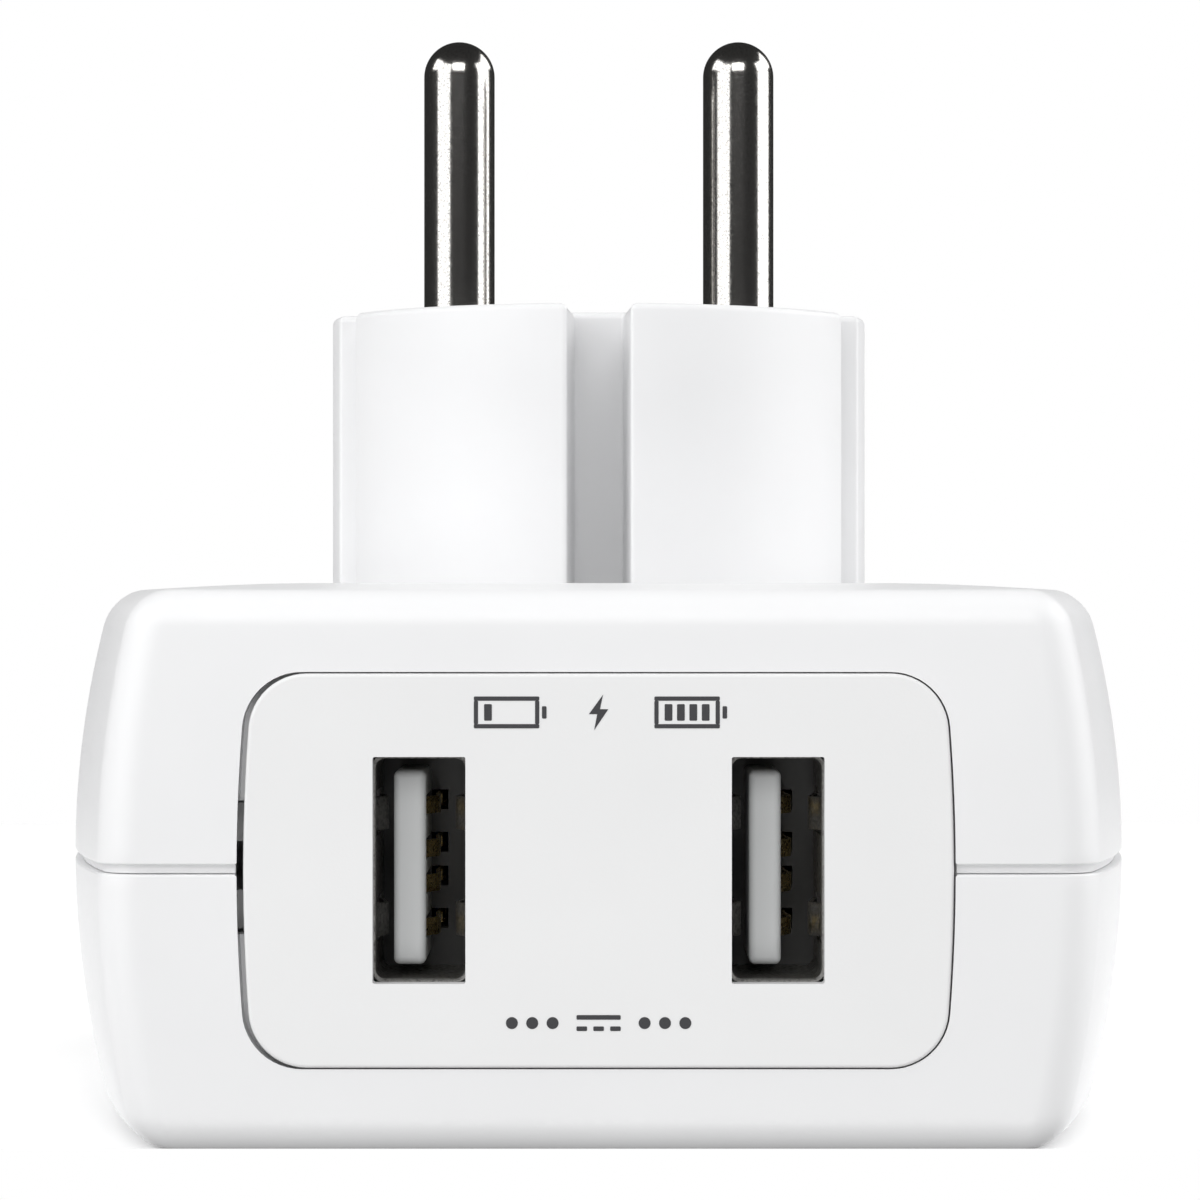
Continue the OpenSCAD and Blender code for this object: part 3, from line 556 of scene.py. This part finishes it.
def front_shell(material):
    shell = loft("front_shell_moulding", [outline(i, z) for i, z in front_skin()])
    bosses = [rod(x, y, FLOOR_Z - 0.5, BOSS_JOINT_Z - 0.1, BOSS_R - 0.25) for x, y in at_screws()]
    board_low = cad_box("main_board")[0].z
    bosses += [rod(x, y, FLOOR_Z - 0.5, board_low, r) for x, y, r in BOARD_POSTS]
    combine(shell, [ledge(-90, GROOVE_BOTTOM)] + bosses, "UNION")
    pilots = [rod(x, y, FLOOR_Z + 1.7, BOSS_JOINT_Z + 1, SCREW_R, 24) for x, y in at_screws()]
    pilots += [rod(x, y, FLOOR_Z + 1, board_low + 1, SMALL_PILOT_R, 24) for x, y, _ in BOARD_POSTS[:2]]
    combine(shell, pilots + window_tools(), "DIFFERENCE")
    even_normals(shell)
    return finish_piece(shell, material, ["front_shell"])


def panel_hook(side, reach, z):
    """Hook on the panel's back: a leg through the ledge, and a catch behind it."""
    nose = LEDGE_Y + LEDGE_T + 0.1
    back = -NOSE_Y + PANEL_T - 0.2
    shape = [(-0.5, back), (0.4, back), (0.4, nose), (0.6 + reach, nose), (0.6 + reach, nose + 0.3),
             (0.4, nose + 1.3), (-0.5, nose + 1.3)]
    ends = [PANEL_Z + z - HOOK_H / 2, PANEL_Z + z + HOOK_H / 2]
    return loft("hook", [[(side * (HOOK_X + x), y, end) for x, y in shape] for end in ends])


def socket_panel(material):
    """Inset panel with a rounded front edge, four hooks and the two socket openings."""
    front = [(-i, -NOSE_Y + d) for i, d in quarter(PANEL_LIP, 6)]
    rings = [upright(panel_outline(grow), y, PANEL_Z) for grow, y in front + [(0, -NOSE_Y + PANEL_T)]]
    panel = loft("socket_panel_plate", rings)
    hooks = [panel_hook(side, reach, z) for side, reach in HOOK_REACH for z in HOOK_Z]
    combine(panel, hooks, "UNION")
    cut = PORT_UNDERCUT
    depths = [(cut, -NOSE_Y - 1), (cut, -NOSE_Y)] + [(cut - i, -NOSE_Y + d) for i, d in quarter(cut, 3)]
    depths += [(0, -NOSE_Y + PANEL_T + 1)]
    for x in (-PORT_X, PORT_X):
        rings = []
        for grow, y in depths:
            width, height = (size + 2 * grow for size in PORT_CUT)
            opening = rounded_rectangle(width, height, PORT_CUT_R + grow, 3)
            rings.append([(px + x, y, pz + PORT_Z) for px, pz in opening])
        combine(panel, [loft("tool", rings)], "DIFFERENCE")
    even_normals(panel)
    return finish_piece(panel, material, ["socket_panel"])


# ---------------------------------------------------------------- pins, screws

def pin(name, node, x, material):
    """Turned pin: domed tip, plain shank, thicker seat in its boss, collar and solder tail."""
    dome = [(PIN_R * math.sin(t), PIN_END - PIN_R * (1 - math.cos(t)))
            for t in [math.radians(4.5 * i) for i in range(21)]]
    seat = [(PIN_R, 0), (PIN_SEAT_R - 0.05, 0), (PIN_SEAT_R, -0.05), (PIN_SEAT_R, PIN_BOSS_END)]
    c = 0.15
    collar = [(PIN_COLLAR_R - c, PIN_BOSS_END), (PIN_COLLAR_R, PIN_BOSS_END - c),
              (PIN_COLLAR_R, RETAINER_Z + c), (PIN_COLLAR_R - c, RETAINER_Z)]
    tail = [(PIN_TAIL_R, RETAINER_Z), (PIN_TAIL_R, PIN_TAIL_Z + 0.2), (PIN_TAIL_R - 0.2, PIN_TAIL_Z),
            (0, PIN_TAIL_Z)]
    piece = lathe(name, dome + seat + collar + tail, 96)
    piece.data.transform(Matrix.Translation((x * MM, 0, 0)))
    return finish_piece(piece, material, [node])


def shell_screws(material):
    """Four pan-head screws, deep in their counterbores, each with a cross recess."""
    made = []
    for x, y in at_screws():
        head = [(0, SCREW_HEAD_H), (SCREW_HEAD_R * 0.5, SCREW_HEAD_H - 0.06)]
        head += [(SCREW_HEAD_R - 0.9 * (1 - math.sin(t)), SCREW_HEAD_H - 1 + 0.88 * math.cos(t))
                 for t in [math.pi / 12 * i for i in range(2, 7)]]
        shank = [(SCREW_HEAD_R, 0), (SCREW_R, 0), (SCREW_R, 1.5 - SCREW_L), (0.3, -SCREW_L), (0, -SCREW_L)]
        screw = lathe("screw", head + shank, 40)
        for turn in (0, 90):
            arm = box_tool((-1.5, -0.3, 0.8), (1.5, 0.3, 3))
            arm.data.transform(Matrix.Rotation(math.radians(turn + 20), 4, "Z"))
            combine(screw, [arm], "DIFFERENCE")
        screw.data.transform(Matrix.Translation(Vector((x, y, SCREW_SEAT_Z)) * MM))
        made.append(screw)
    return finish_piece(join("shell_screw_set", made), material, ["shell_screws"])


# ----------------------------------------------------------------- USB sockets

def smooth_path(points, steps=5):
    """Smooth curve in a plane through the points."""
    path = []
    for k in range(len(points) - 1):
        a, b = Vector(points[k]), Vector(points[k + 1])
        before = Vector(points[k - 1]) if k else a * 2 - b
        after = Vector(points[k + 2]) if k + 2 < len(points) else b * 2 - a
        for i in range(steps):
            u = i / steps
            p = 0.5 * (2 * a + (b - before) * u + (2 * before - 5 * a + 4 * b - after) * u * u
                       + (3 * a - before - 3 * b + after) * u ** 3)
            path.append((p.x, p.y))
    return path + [tuple(points[-1])]


def sheet_strip(name, points, width, thickness, z, edge=0.04):
    """Bent metal strip along points in X and Y, with softened edges."""
    path = [Vector(p) for p in smooth_path(points)]
    section = rounded_rectangle(thickness, width, edge, 2)
    rings = []
    for i, p in enumerate(path):
        d = (path[min(i + 1, len(path) - 1)] - path[max(i - 1, 0)]).normalized()
        side = Vector((-d.y, d.x))
        rings.append([(p.x + side.x * s, p.y + side.y * s, z + w) for s, w in section])
    return loft(name, rings, sharp=50)


def port_shell(name, node, x, material):
    """Sheet-metal tube with rolled front corners and four pressed-in spring fingers."""
    lip = 0.1
    path = [(lip, PORT_FRONT_Y), (0, PORT_FRONT_Y + lip), (0, PORT_BACK_Y),
            (SHELL_T, PORT_BACK_Y), (SHELL_T, PORT_FRONT_Y + lip), (SHELL_T - lip, PORT_FRONT_Y)]
    rings = []
    for inset, y in path:
        shape = rounded_rectangle(SHELL_W - 2 * inset, SHELL_H - 2 * inset, 0.85 - inset, 6)
        rings.append(upright(shape, y, PORT_Z))
    shell = loft(name, rings, closed=True)
    wall_x = (SHELL_W - SHELL_T) / 2
    windows, fingers = [], []
    for side in (-1, 1):
        for z in (-FINGER_Z, FINGER_Z):
            half = FINGER_W / 2 + FINGER_PLAY
            windows.append(box_tool((side * wall_x - 0.5, PORT_FRONT_Y + 1.3, PORT_Z + z - half),
                                    (side * wall_x + 0.5, PORT_FRONT_Y + 6.9, PORT_Z + z + half)))
            bend = ((0, 1.1), (0.1, 1.8), (FINGER_DEPTH * 0.85, 2.7), (FINGER_DEPTH, 3.2),
                    (FINGER_DEPTH * 0.85, 3.8), (0.2, 6.4))
            points = [(side * (wall_x - d), PORT_FRONT_Y + y) for d, y in bend]
            fingers.append(sheet_strip("finger", points, FINGER_W, FINGER_T, PORT_Z + z))
    combine(shell, windows, "DIFFERENCE")
    board_low = cad_box(node)[0].z
    legs = []
    for side in (-1, 1):
        for y in PORT_LEG_Y:
            middle = side * wall_x
            legs.append(box_tool((middle - SHELL_T / 2, y, board_low),
                                 (middle + SHELL_T / 2, y + PORT_LEG_W, PORT_Z - SHELL_H / 2 + 1)))
    piece = join(name, [shell] + fingers + legs)
    piece.data.transform(Matrix.Translation((x * MM, 0, 0)))
    return finish_piece(piece, material, [node])


def port_tongue(name, node, x, material):
    """Insulating tongue with a rounded front edge, and a groove for each contact's tip."""
    edge = 0.45
    rings = []
    for inset, depth in quarter(edge, 6):
        shape = rounded_rectangle(TONGUE_T - 2 * inset, TONGUE_H - 2 * inset, 0.35 - inset * 0.6, 4)
        rings.append([(px + TONGUE_X, TONGUE_FRONT_Y + depth, pz + PORT_Z) for px, pz in shape])
    rings.append([(px, BLOCK_FRONT_Y, pz) for px, _, pz in rings[-1]])
    tongue = loft(name, rings)
    half = CONTACT_W / 2 + CONTACT_PLAY
    grooves = [box_tool((TONGUE_FACE_X - 1.05, TONGUE_FRONT_Y + 0.6, PORT_Z + z - half),
                        (TONGUE_FACE_X + 1, BLOCK_FRONT_Y + 1, PORT_Z + z + half))
               for z in CONTACT_Z]
    combine(tongue, grooves, "DIFFERENCE")
    tongue.data.transform(Matrix.Translation((x * MM, 0, 0)))
    even_normals(tongue)
    return finish_piece(tongue, material, [node])


def contact(side, number, x, material):
    """Gilt spring: it bulges beside the tongue, and its tip lies in the tongue's groove."""
    bend = ((0.45, 0.85), (0.45, -0.4), (0.42, -1.6), (0.5, -3), (0.6, -4), (0.62, -4.8), (0.5, -5.6),
            (0.1, -6.4), (-0.25, -7.1))
    points = [(TONGUE_FACE_X + px, BLOCK_FRONT_Y + py) for px, py in bend]
    node = f"{side}_contact_{number}"
    strip = sheet_strip(node + "_spring", points, CONTACT_W, CONTACT_T, PORT_Z + CONTACT_Z[number - 1])
    strip.data.transform(Matrix.Translation((x * MM, 0, 0)))
    return finish_piece(strip, material, [node], node)


# --------------------------------------------------------------- printed marks

def printed(name, shapes, material):
    """Flat printed shapes, a hair proud of the panel. Each is a list of (x, z) points."""
    proud, sunk = 0.02, 0.01
    parts = []
    for shape in shapes:
        rings = [[(x, y, z) for x, z in shape] for y in (-NOSE_Y - proud, -NOSE_Y + sunk)]
        parts.append(loft("mark", rings))
    piece = join(name, parts)
    piece.data.materials.append(material)
    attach(piece, BODY)
    return piece


def bar(x, z, width, height, radius=0.06):
    return [(px + x, pz + z) for px, pz in rounded_rectangle(width, height, radius, 3)]


def dot(x, z, radius):
    return [(px + x, pz + z) for px, pz in arc((0, 0), radius, 0, 345, 23)]


def battery(x, z, cells):
    """Plain battery sign: a frame of four bars, its cap, and its cells."""
    w, h, line = 3.7, 1.8, 0.24
    shapes = [bar(x, z + side * (h - line) / 2, w, line) for side in (-1, 1)]
    shapes += [bar(x + side * (w - line) / 2, z, line, h - 2 * line) for side in (-1, 1)]
    shapes.append(bar(x + w / 2 + 0.28, z, 0.26, 0.7))
    shapes += [bar(x - 1.05 + 0.7 * i, z, 0.44, h - 3.6 * line) for i in range(cells)]
    return shapes


def bolt(x, z):
    """Lightning stroke."""
    stroke = ((0.25, 1), (-0.55, -0.1), (-0.08, -0.1), (-0.25, -1), (0.55, 0.18), (0.08, 0.18))
    return [(px + x, pz + z) for px, pz in stroke]


def top_marks(material):
    z = PANEL_Z + PANEL_H / 2 - 2.2
    shapes = battery(-5.2, z, 1) + [bolt(0, z)] + battery(5.0, z, 4)
    return printed("charge_marks", shapes, material)


def bottom_marks(material):
    z = PANEL_Z - PANEL_H / 2 + 2.55
    shapes = [bar(0, z + 0.32, 2.5, 0.26)] + [bar(0.95 * i, z - 0.32, 0.6, 0.26) for i in (-1, 0, 1)]
    shapes += [dot(side * (2.6 + 1.15 * i), z, 0.34) for side in (-1, 1) for i in range(3)]
    return printed("direct_current_marks", shapes, material)


# ------------------------------------------------------------------- materials

def new_material(name, colour, roughness, metallic=0.0):
    """A principled material with the nodes that every finish here builds on."""
    material = bpy.data.materials.new(name)
    material.use_nodes = True
    tree = material.node_tree
    shader = tree.nodes["Principled BSDF"]
    shader.inputs["Metallic"].default_value = metallic
    shader.inputs["Roughness"].default_value = roughness
    shader.inputs["Base Color"].default_value = (*colour, 1)
    place = tree.nodes.new("ShaderNodeTexCoord")
    return material, tree, shader, place.outputs["Object"]


def noise(tree, place, size, detail=3.0):
    """Noise whose features are about "size" millimetres across."""
    node = tree.nodes.new("ShaderNodeTexNoise")
    node.inputs["Scale"].default_value = 1 / (size * MM)
    node.inputs["Detail"].default_value = detail
    tree.links.new(place, node.inputs["Vector"])
    return node.outputs["Fac"]


def spread(tree, value, low, high, start=0.3, end=0.7):
    """Maps a noise value to the range from low to high."""
    node = tree.nodes.new("ShaderNodeMapRange")
    for socket, number in (("From Min", start), ("From Max", end), ("To Min", low), ("To Max", high)):
        node.inputs[socket].default_value = number
    tree.links.new(value, node.inputs["Value"])
    return node.outputs["Result"]


def tint(tree, value, first, second):
    """Mixes two colours by a value."""
    node = tree.nodes.new("ShaderNodeMix")
    node.data_type = "RGBA"
    node.inputs["A"].default_value = (*first, 1)
    node.inputs["B"].default_value = (*second, 1)
    tree.links.new(value, node.inputs["Factor"])
    return node.outputs["Result"]


def relief(tree, shader, height, depth, strength=1.0):
    """Bump, with its depth in millimetres."""
    node = tree.nodes.new("ShaderNodeBump")
    node.inputs["Strength"].default_value = strength
    node.inputs["Distance"].default_value = depth * MM
    tree.links.new(height, node.inputs["Height"])
    tree.links.new(node.outputs["Normal"], shader.inputs["Normal"])


def moulded(name, colour, roughness, grain, depth, vary=0.02):
    """Moulded plastic: slow changes of tone and gloss, and a fine grain."""
    material, tree, shader, place = new_material(name, colour, roughness)
    slow = noise(tree, place, 9)
    darker = [c * (1 - vary) for c in colour]
    tree.links.new(tint(tree, spread(tree, slow, 0, 1), colour, darker), shader.inputs["Base Color"])
    fine = noise(tree, place, grain, 2)
    gloss = spread(tree, fine, roughness * 0.85, min(roughness * 1.18, 1))
    tree.links.new(gloss, shader.inputs["Roughness"])
    relief(tree, shader, fine, depth)
    return material


def plated(name, colour, dull, roughness, grain, depth):
    """Plated metal: fine pits and dull specks in a bright surface."""
    material, tree, shader, place = new_material(name, colour, roughness, 1.0)
    specks = noise(tree, place, grain, 6)
    dullness = spread(tree, specks, 0, 1, 0.45, 0.68)
    tree.links.new(tint(tree, dullness, colour, dull), shader.inputs["Base Color"])
    tree.links.new(spread(tree, specks, roughness, roughness * 2.4, 0.4, 0.75), shader.inputs["Roughness"])
    relief(tree, shader, specks, depth)
    return material


def make_materials():
    """A material for each slot. Each finish is roughness, size of the grain and its depth."""
    slots = {m["slot"]: m["base_color"] for m in frame["record"]["materials"]}
    plain = {
        "retainer_plastic": (0.55, 0.3, 0.01), "board_green": (0.3, 0.5, 0.008),
        "chip_black": (0.5, 0.2, 0.008), "can_sleeve": (0.25, 0.6, 0.004), "ceramic_blue": (0.2, 0.8, 0.01),
        "film_yellow": (0.25, 0.5, 0.006), "ferrite": (0.7, 0.25, 0.02), "tape_yellow": (0.4, 0.5, 0.01),
        "fuse_body": (0.4, 0.4, 0.006), "wire_brown": (0.45, 0.4, 0.006), "wire_blue": (0.45, 0.4, 0.006),
        "sheet_white": (0.5, 0.4, 0.004), "mark_ink": (0.6, 0.15, 0.003)}
    made = {slot: moulded(slot, slots[slot], *finish, vary=0.08) for slot, finish in plain.items()}
    made["dark_plastic"] = moulded("dark_plastic", (0.11, 0.11, 0.11), 0.5, 0.25, 0.004)
    # Painted shade: the tongue is white plastic, but it gets a mid-grey colour here for the shade it sits
    # in, deep inside the socket.
    made["tongue_plastic"] = moulded("tongue_plastic", (0.55, 0.56, 0.56), 0.5, 0.3, 0.004)
    made["shell_plastic"] = moulded("shell_plastic", (0.843, 0.845, 0.852), 0.42, 0.35, 0.0006)
    made["panel_plastic"] = moulded("panel_plastic", (0.822, 0.824, 0.826), 0.55, 0.16, 0.006)
    metals = {
        "pin_metal": (0.11, 0.12, 0.0012), "screw_steel": (0.28, 0.25, 0.004),
        "socket_metal": (0.3, 0.3, 0.004), "contact_gold": (0.22, 0.2, 0.002),
        "copper_wire": (0.3, 0.3, 0.004), "heatsink_metal": (0.35, 0.3, 0.006)}
    for slot, finish in metals.items():
        colour = slots[slot]
        made[slot] = plated(slot, colour, [c * 0.55 for c in colour], *finish)
    return made


def dress_cad_nodes(materials):
    """Every CAD node that still shows gets the procedural material of its slot."""
    for entry in frame["record"]["subparts"]:
        node = frame["nodes"][entry["node"]]
        if not node.hide_render:
            node.data.materials.clear()
            node.data.materials.append(materials[entry["material_slot"]])


# ------------------------------------------------------------- camera, studio

def camera():
    """Level camera in front of the USB sockets."""
    data = bpy.data.cameras.new("camera")
    data.sensor_width = 36
    data.lens = 125.43
    data.clip_start, data.clip_end = 0.01, 20
    view = bpy.data.objects.new("camera", data)
    view.location = Vector(CAMERA_AT) * MM
    view.rotation_euler = (math.pi / 2, 0, 0)
    bpy.context.scene.collection.objects.link(view)
    bpy.context.scene.camera = view


def softbox(name, azimuth, rise, size, radiance, distance=0.8):
    """Soft box at an azimuth in degrees from the camera's side, positive to the right."""
    data = bpy.data.lights.new(name, "AREA")
    data.shape = "RECTANGLE"
    data.size, data.size_y = size
    data.energy = radiance * math.pi * size[0] * size[1]
    light = bpy.data.objects.new(name, data)
    turn = math.radians(azimuth)
    aim = Vector(AIM) * MM
    light.location = aim + Vector((distance * math.sin(turn), -distance * math.cos(turn), rise))
    light.rotation_euler = (aim - light.location).to_track_quat("-Z", "Y").to_euler()
    bpy.context.scene.collection.objects.link(light)


def overhead(strength, spread_angle):
    """Even light from straight above, as from a wide ceiling diffuser."""
    data = bpy.data.lights.new("overhead", "SUN")
    data.energy = strength
    data.angle = math.radians(spread_angle)
    light = bpy.data.objects.new("overhead", data)
    light.visible_glossy = False
    bpy.context.scene.collection.objects.link(light)


def surround(fill, seen, mirrored):
    """White surround. It fills the shadows, and it is darker where a glossy surface mirrors it."""
    world = bpy.data.worlds.new("surround")
    world.use_nodes = True
    tree = world.node_tree
    path = tree.nodes.new("ShaderNodeLightPath")
    strength = tree.nodes["Background"].inputs["Strength"]
    base = fill
    for ray, level in (("Is Camera Ray", seen), ("Is Glossy Ray", mirrored)):
        pick = tree.nodes.new("ShaderNodeMix")
        if isinstance(base, float):
            pick.inputs["A"].default_value = base
        else:
            tree.links.new(base, pick.inputs["A"])
        pick.inputs["B"].default_value = level
        tree.links.new(path.outputs[ray], pick.inputs["Factor"])
        base = pick.outputs["Result"]
    tree.links.new(base, strength)
    tree.nodes["Background"].inputs["Color"].default_value = (1, 1, 1, 1)
    bpy.context.scene.world = world


def studio():
    """White table top lit a little from within, soft boxes, light from above, a white surround."""
    bpy.context.scene.view_settings.view_transform = "Standard"
    surround(fill=0.37, seen=1.0, mirrored=0.03)
    softbox("left_box", -52, 0.2, (0.66, 0.8), 1.7)
    softbox("right_box", 91, 0.2, (0.74, 0.8), 2.0)
    softbox("high_left_box", -85, 0.5, (0.5, 0.4), 1.8)
    softbox("high_right_box", 120, 0.5, (0.5, 0.4), 2.2)
    softbox("high_front_box", -2, 0.5, (0.6, 0.4), 3.5)
    softbox("low_front_box", 0, -0.5, (0.3, 0.3), 5.5)
    overhead(0.85, 60)
    white, _, shader, _ = new_material("floor_white", (0.93, 0.93, 0.93), 0.9)
    shader.inputs["Specular IOR Level"].default_value = 0.0
    shader.inputs["Emission Color"].default_value = (1, 1, 1, 1)
    shader.inputs["Emission Strength"].default_value = 0.07
    side, near, far, level = 0.3, -0.0465, 0.3, FRONT_Z * MM
    mesh = bpy.data.meshes.new("floor")
    mesh.from_pydata([(x, y, level) for x, y in ((-side, near), (side, near), (side, far), (-side, far))],
                     [], [(0, 1, 2, 3)])
    mesh.materials.append(white)
    floor = bpy.data.objects.new("floor", mesh)
    bpy.context.scene.collection.objects.link(floor)


# ------------------------------------------------------------------------ make

camera()
materials = make_materials()
rear_shell(materials["shell_plastic"])
front_shell(materials["shell_plastic"])
socket_panel(materials["panel_plastic"])
pin("line_pin_turned", "line_pin", -PIN_X, materials["pin_metal"])
pin("neutral_pin_turned", "neutral_pin", PIN_X, materials["pin_metal"])
shell_screws(materials["screw_steel"])
for side_name, port_x in (("left", -PORT_X), ("right", PORT_X)):
    port_shell(side_name + "_port_sheet", side_name + "_port_shell", port_x, materials["socket_metal"])
    port_tongue(side_name + "_port_insulator", side_name + "_port_tongue", port_x,
                materials["tongue_plastic"])
    for number in (1, 2, 3, 4):
        contact(side_name, number, port_x, materials["contact_gold"])
top_marks(materials["mark_ink"])
bottom_marks(materials["mark_ink"])
dress_cad_nodes(materials)
studio()
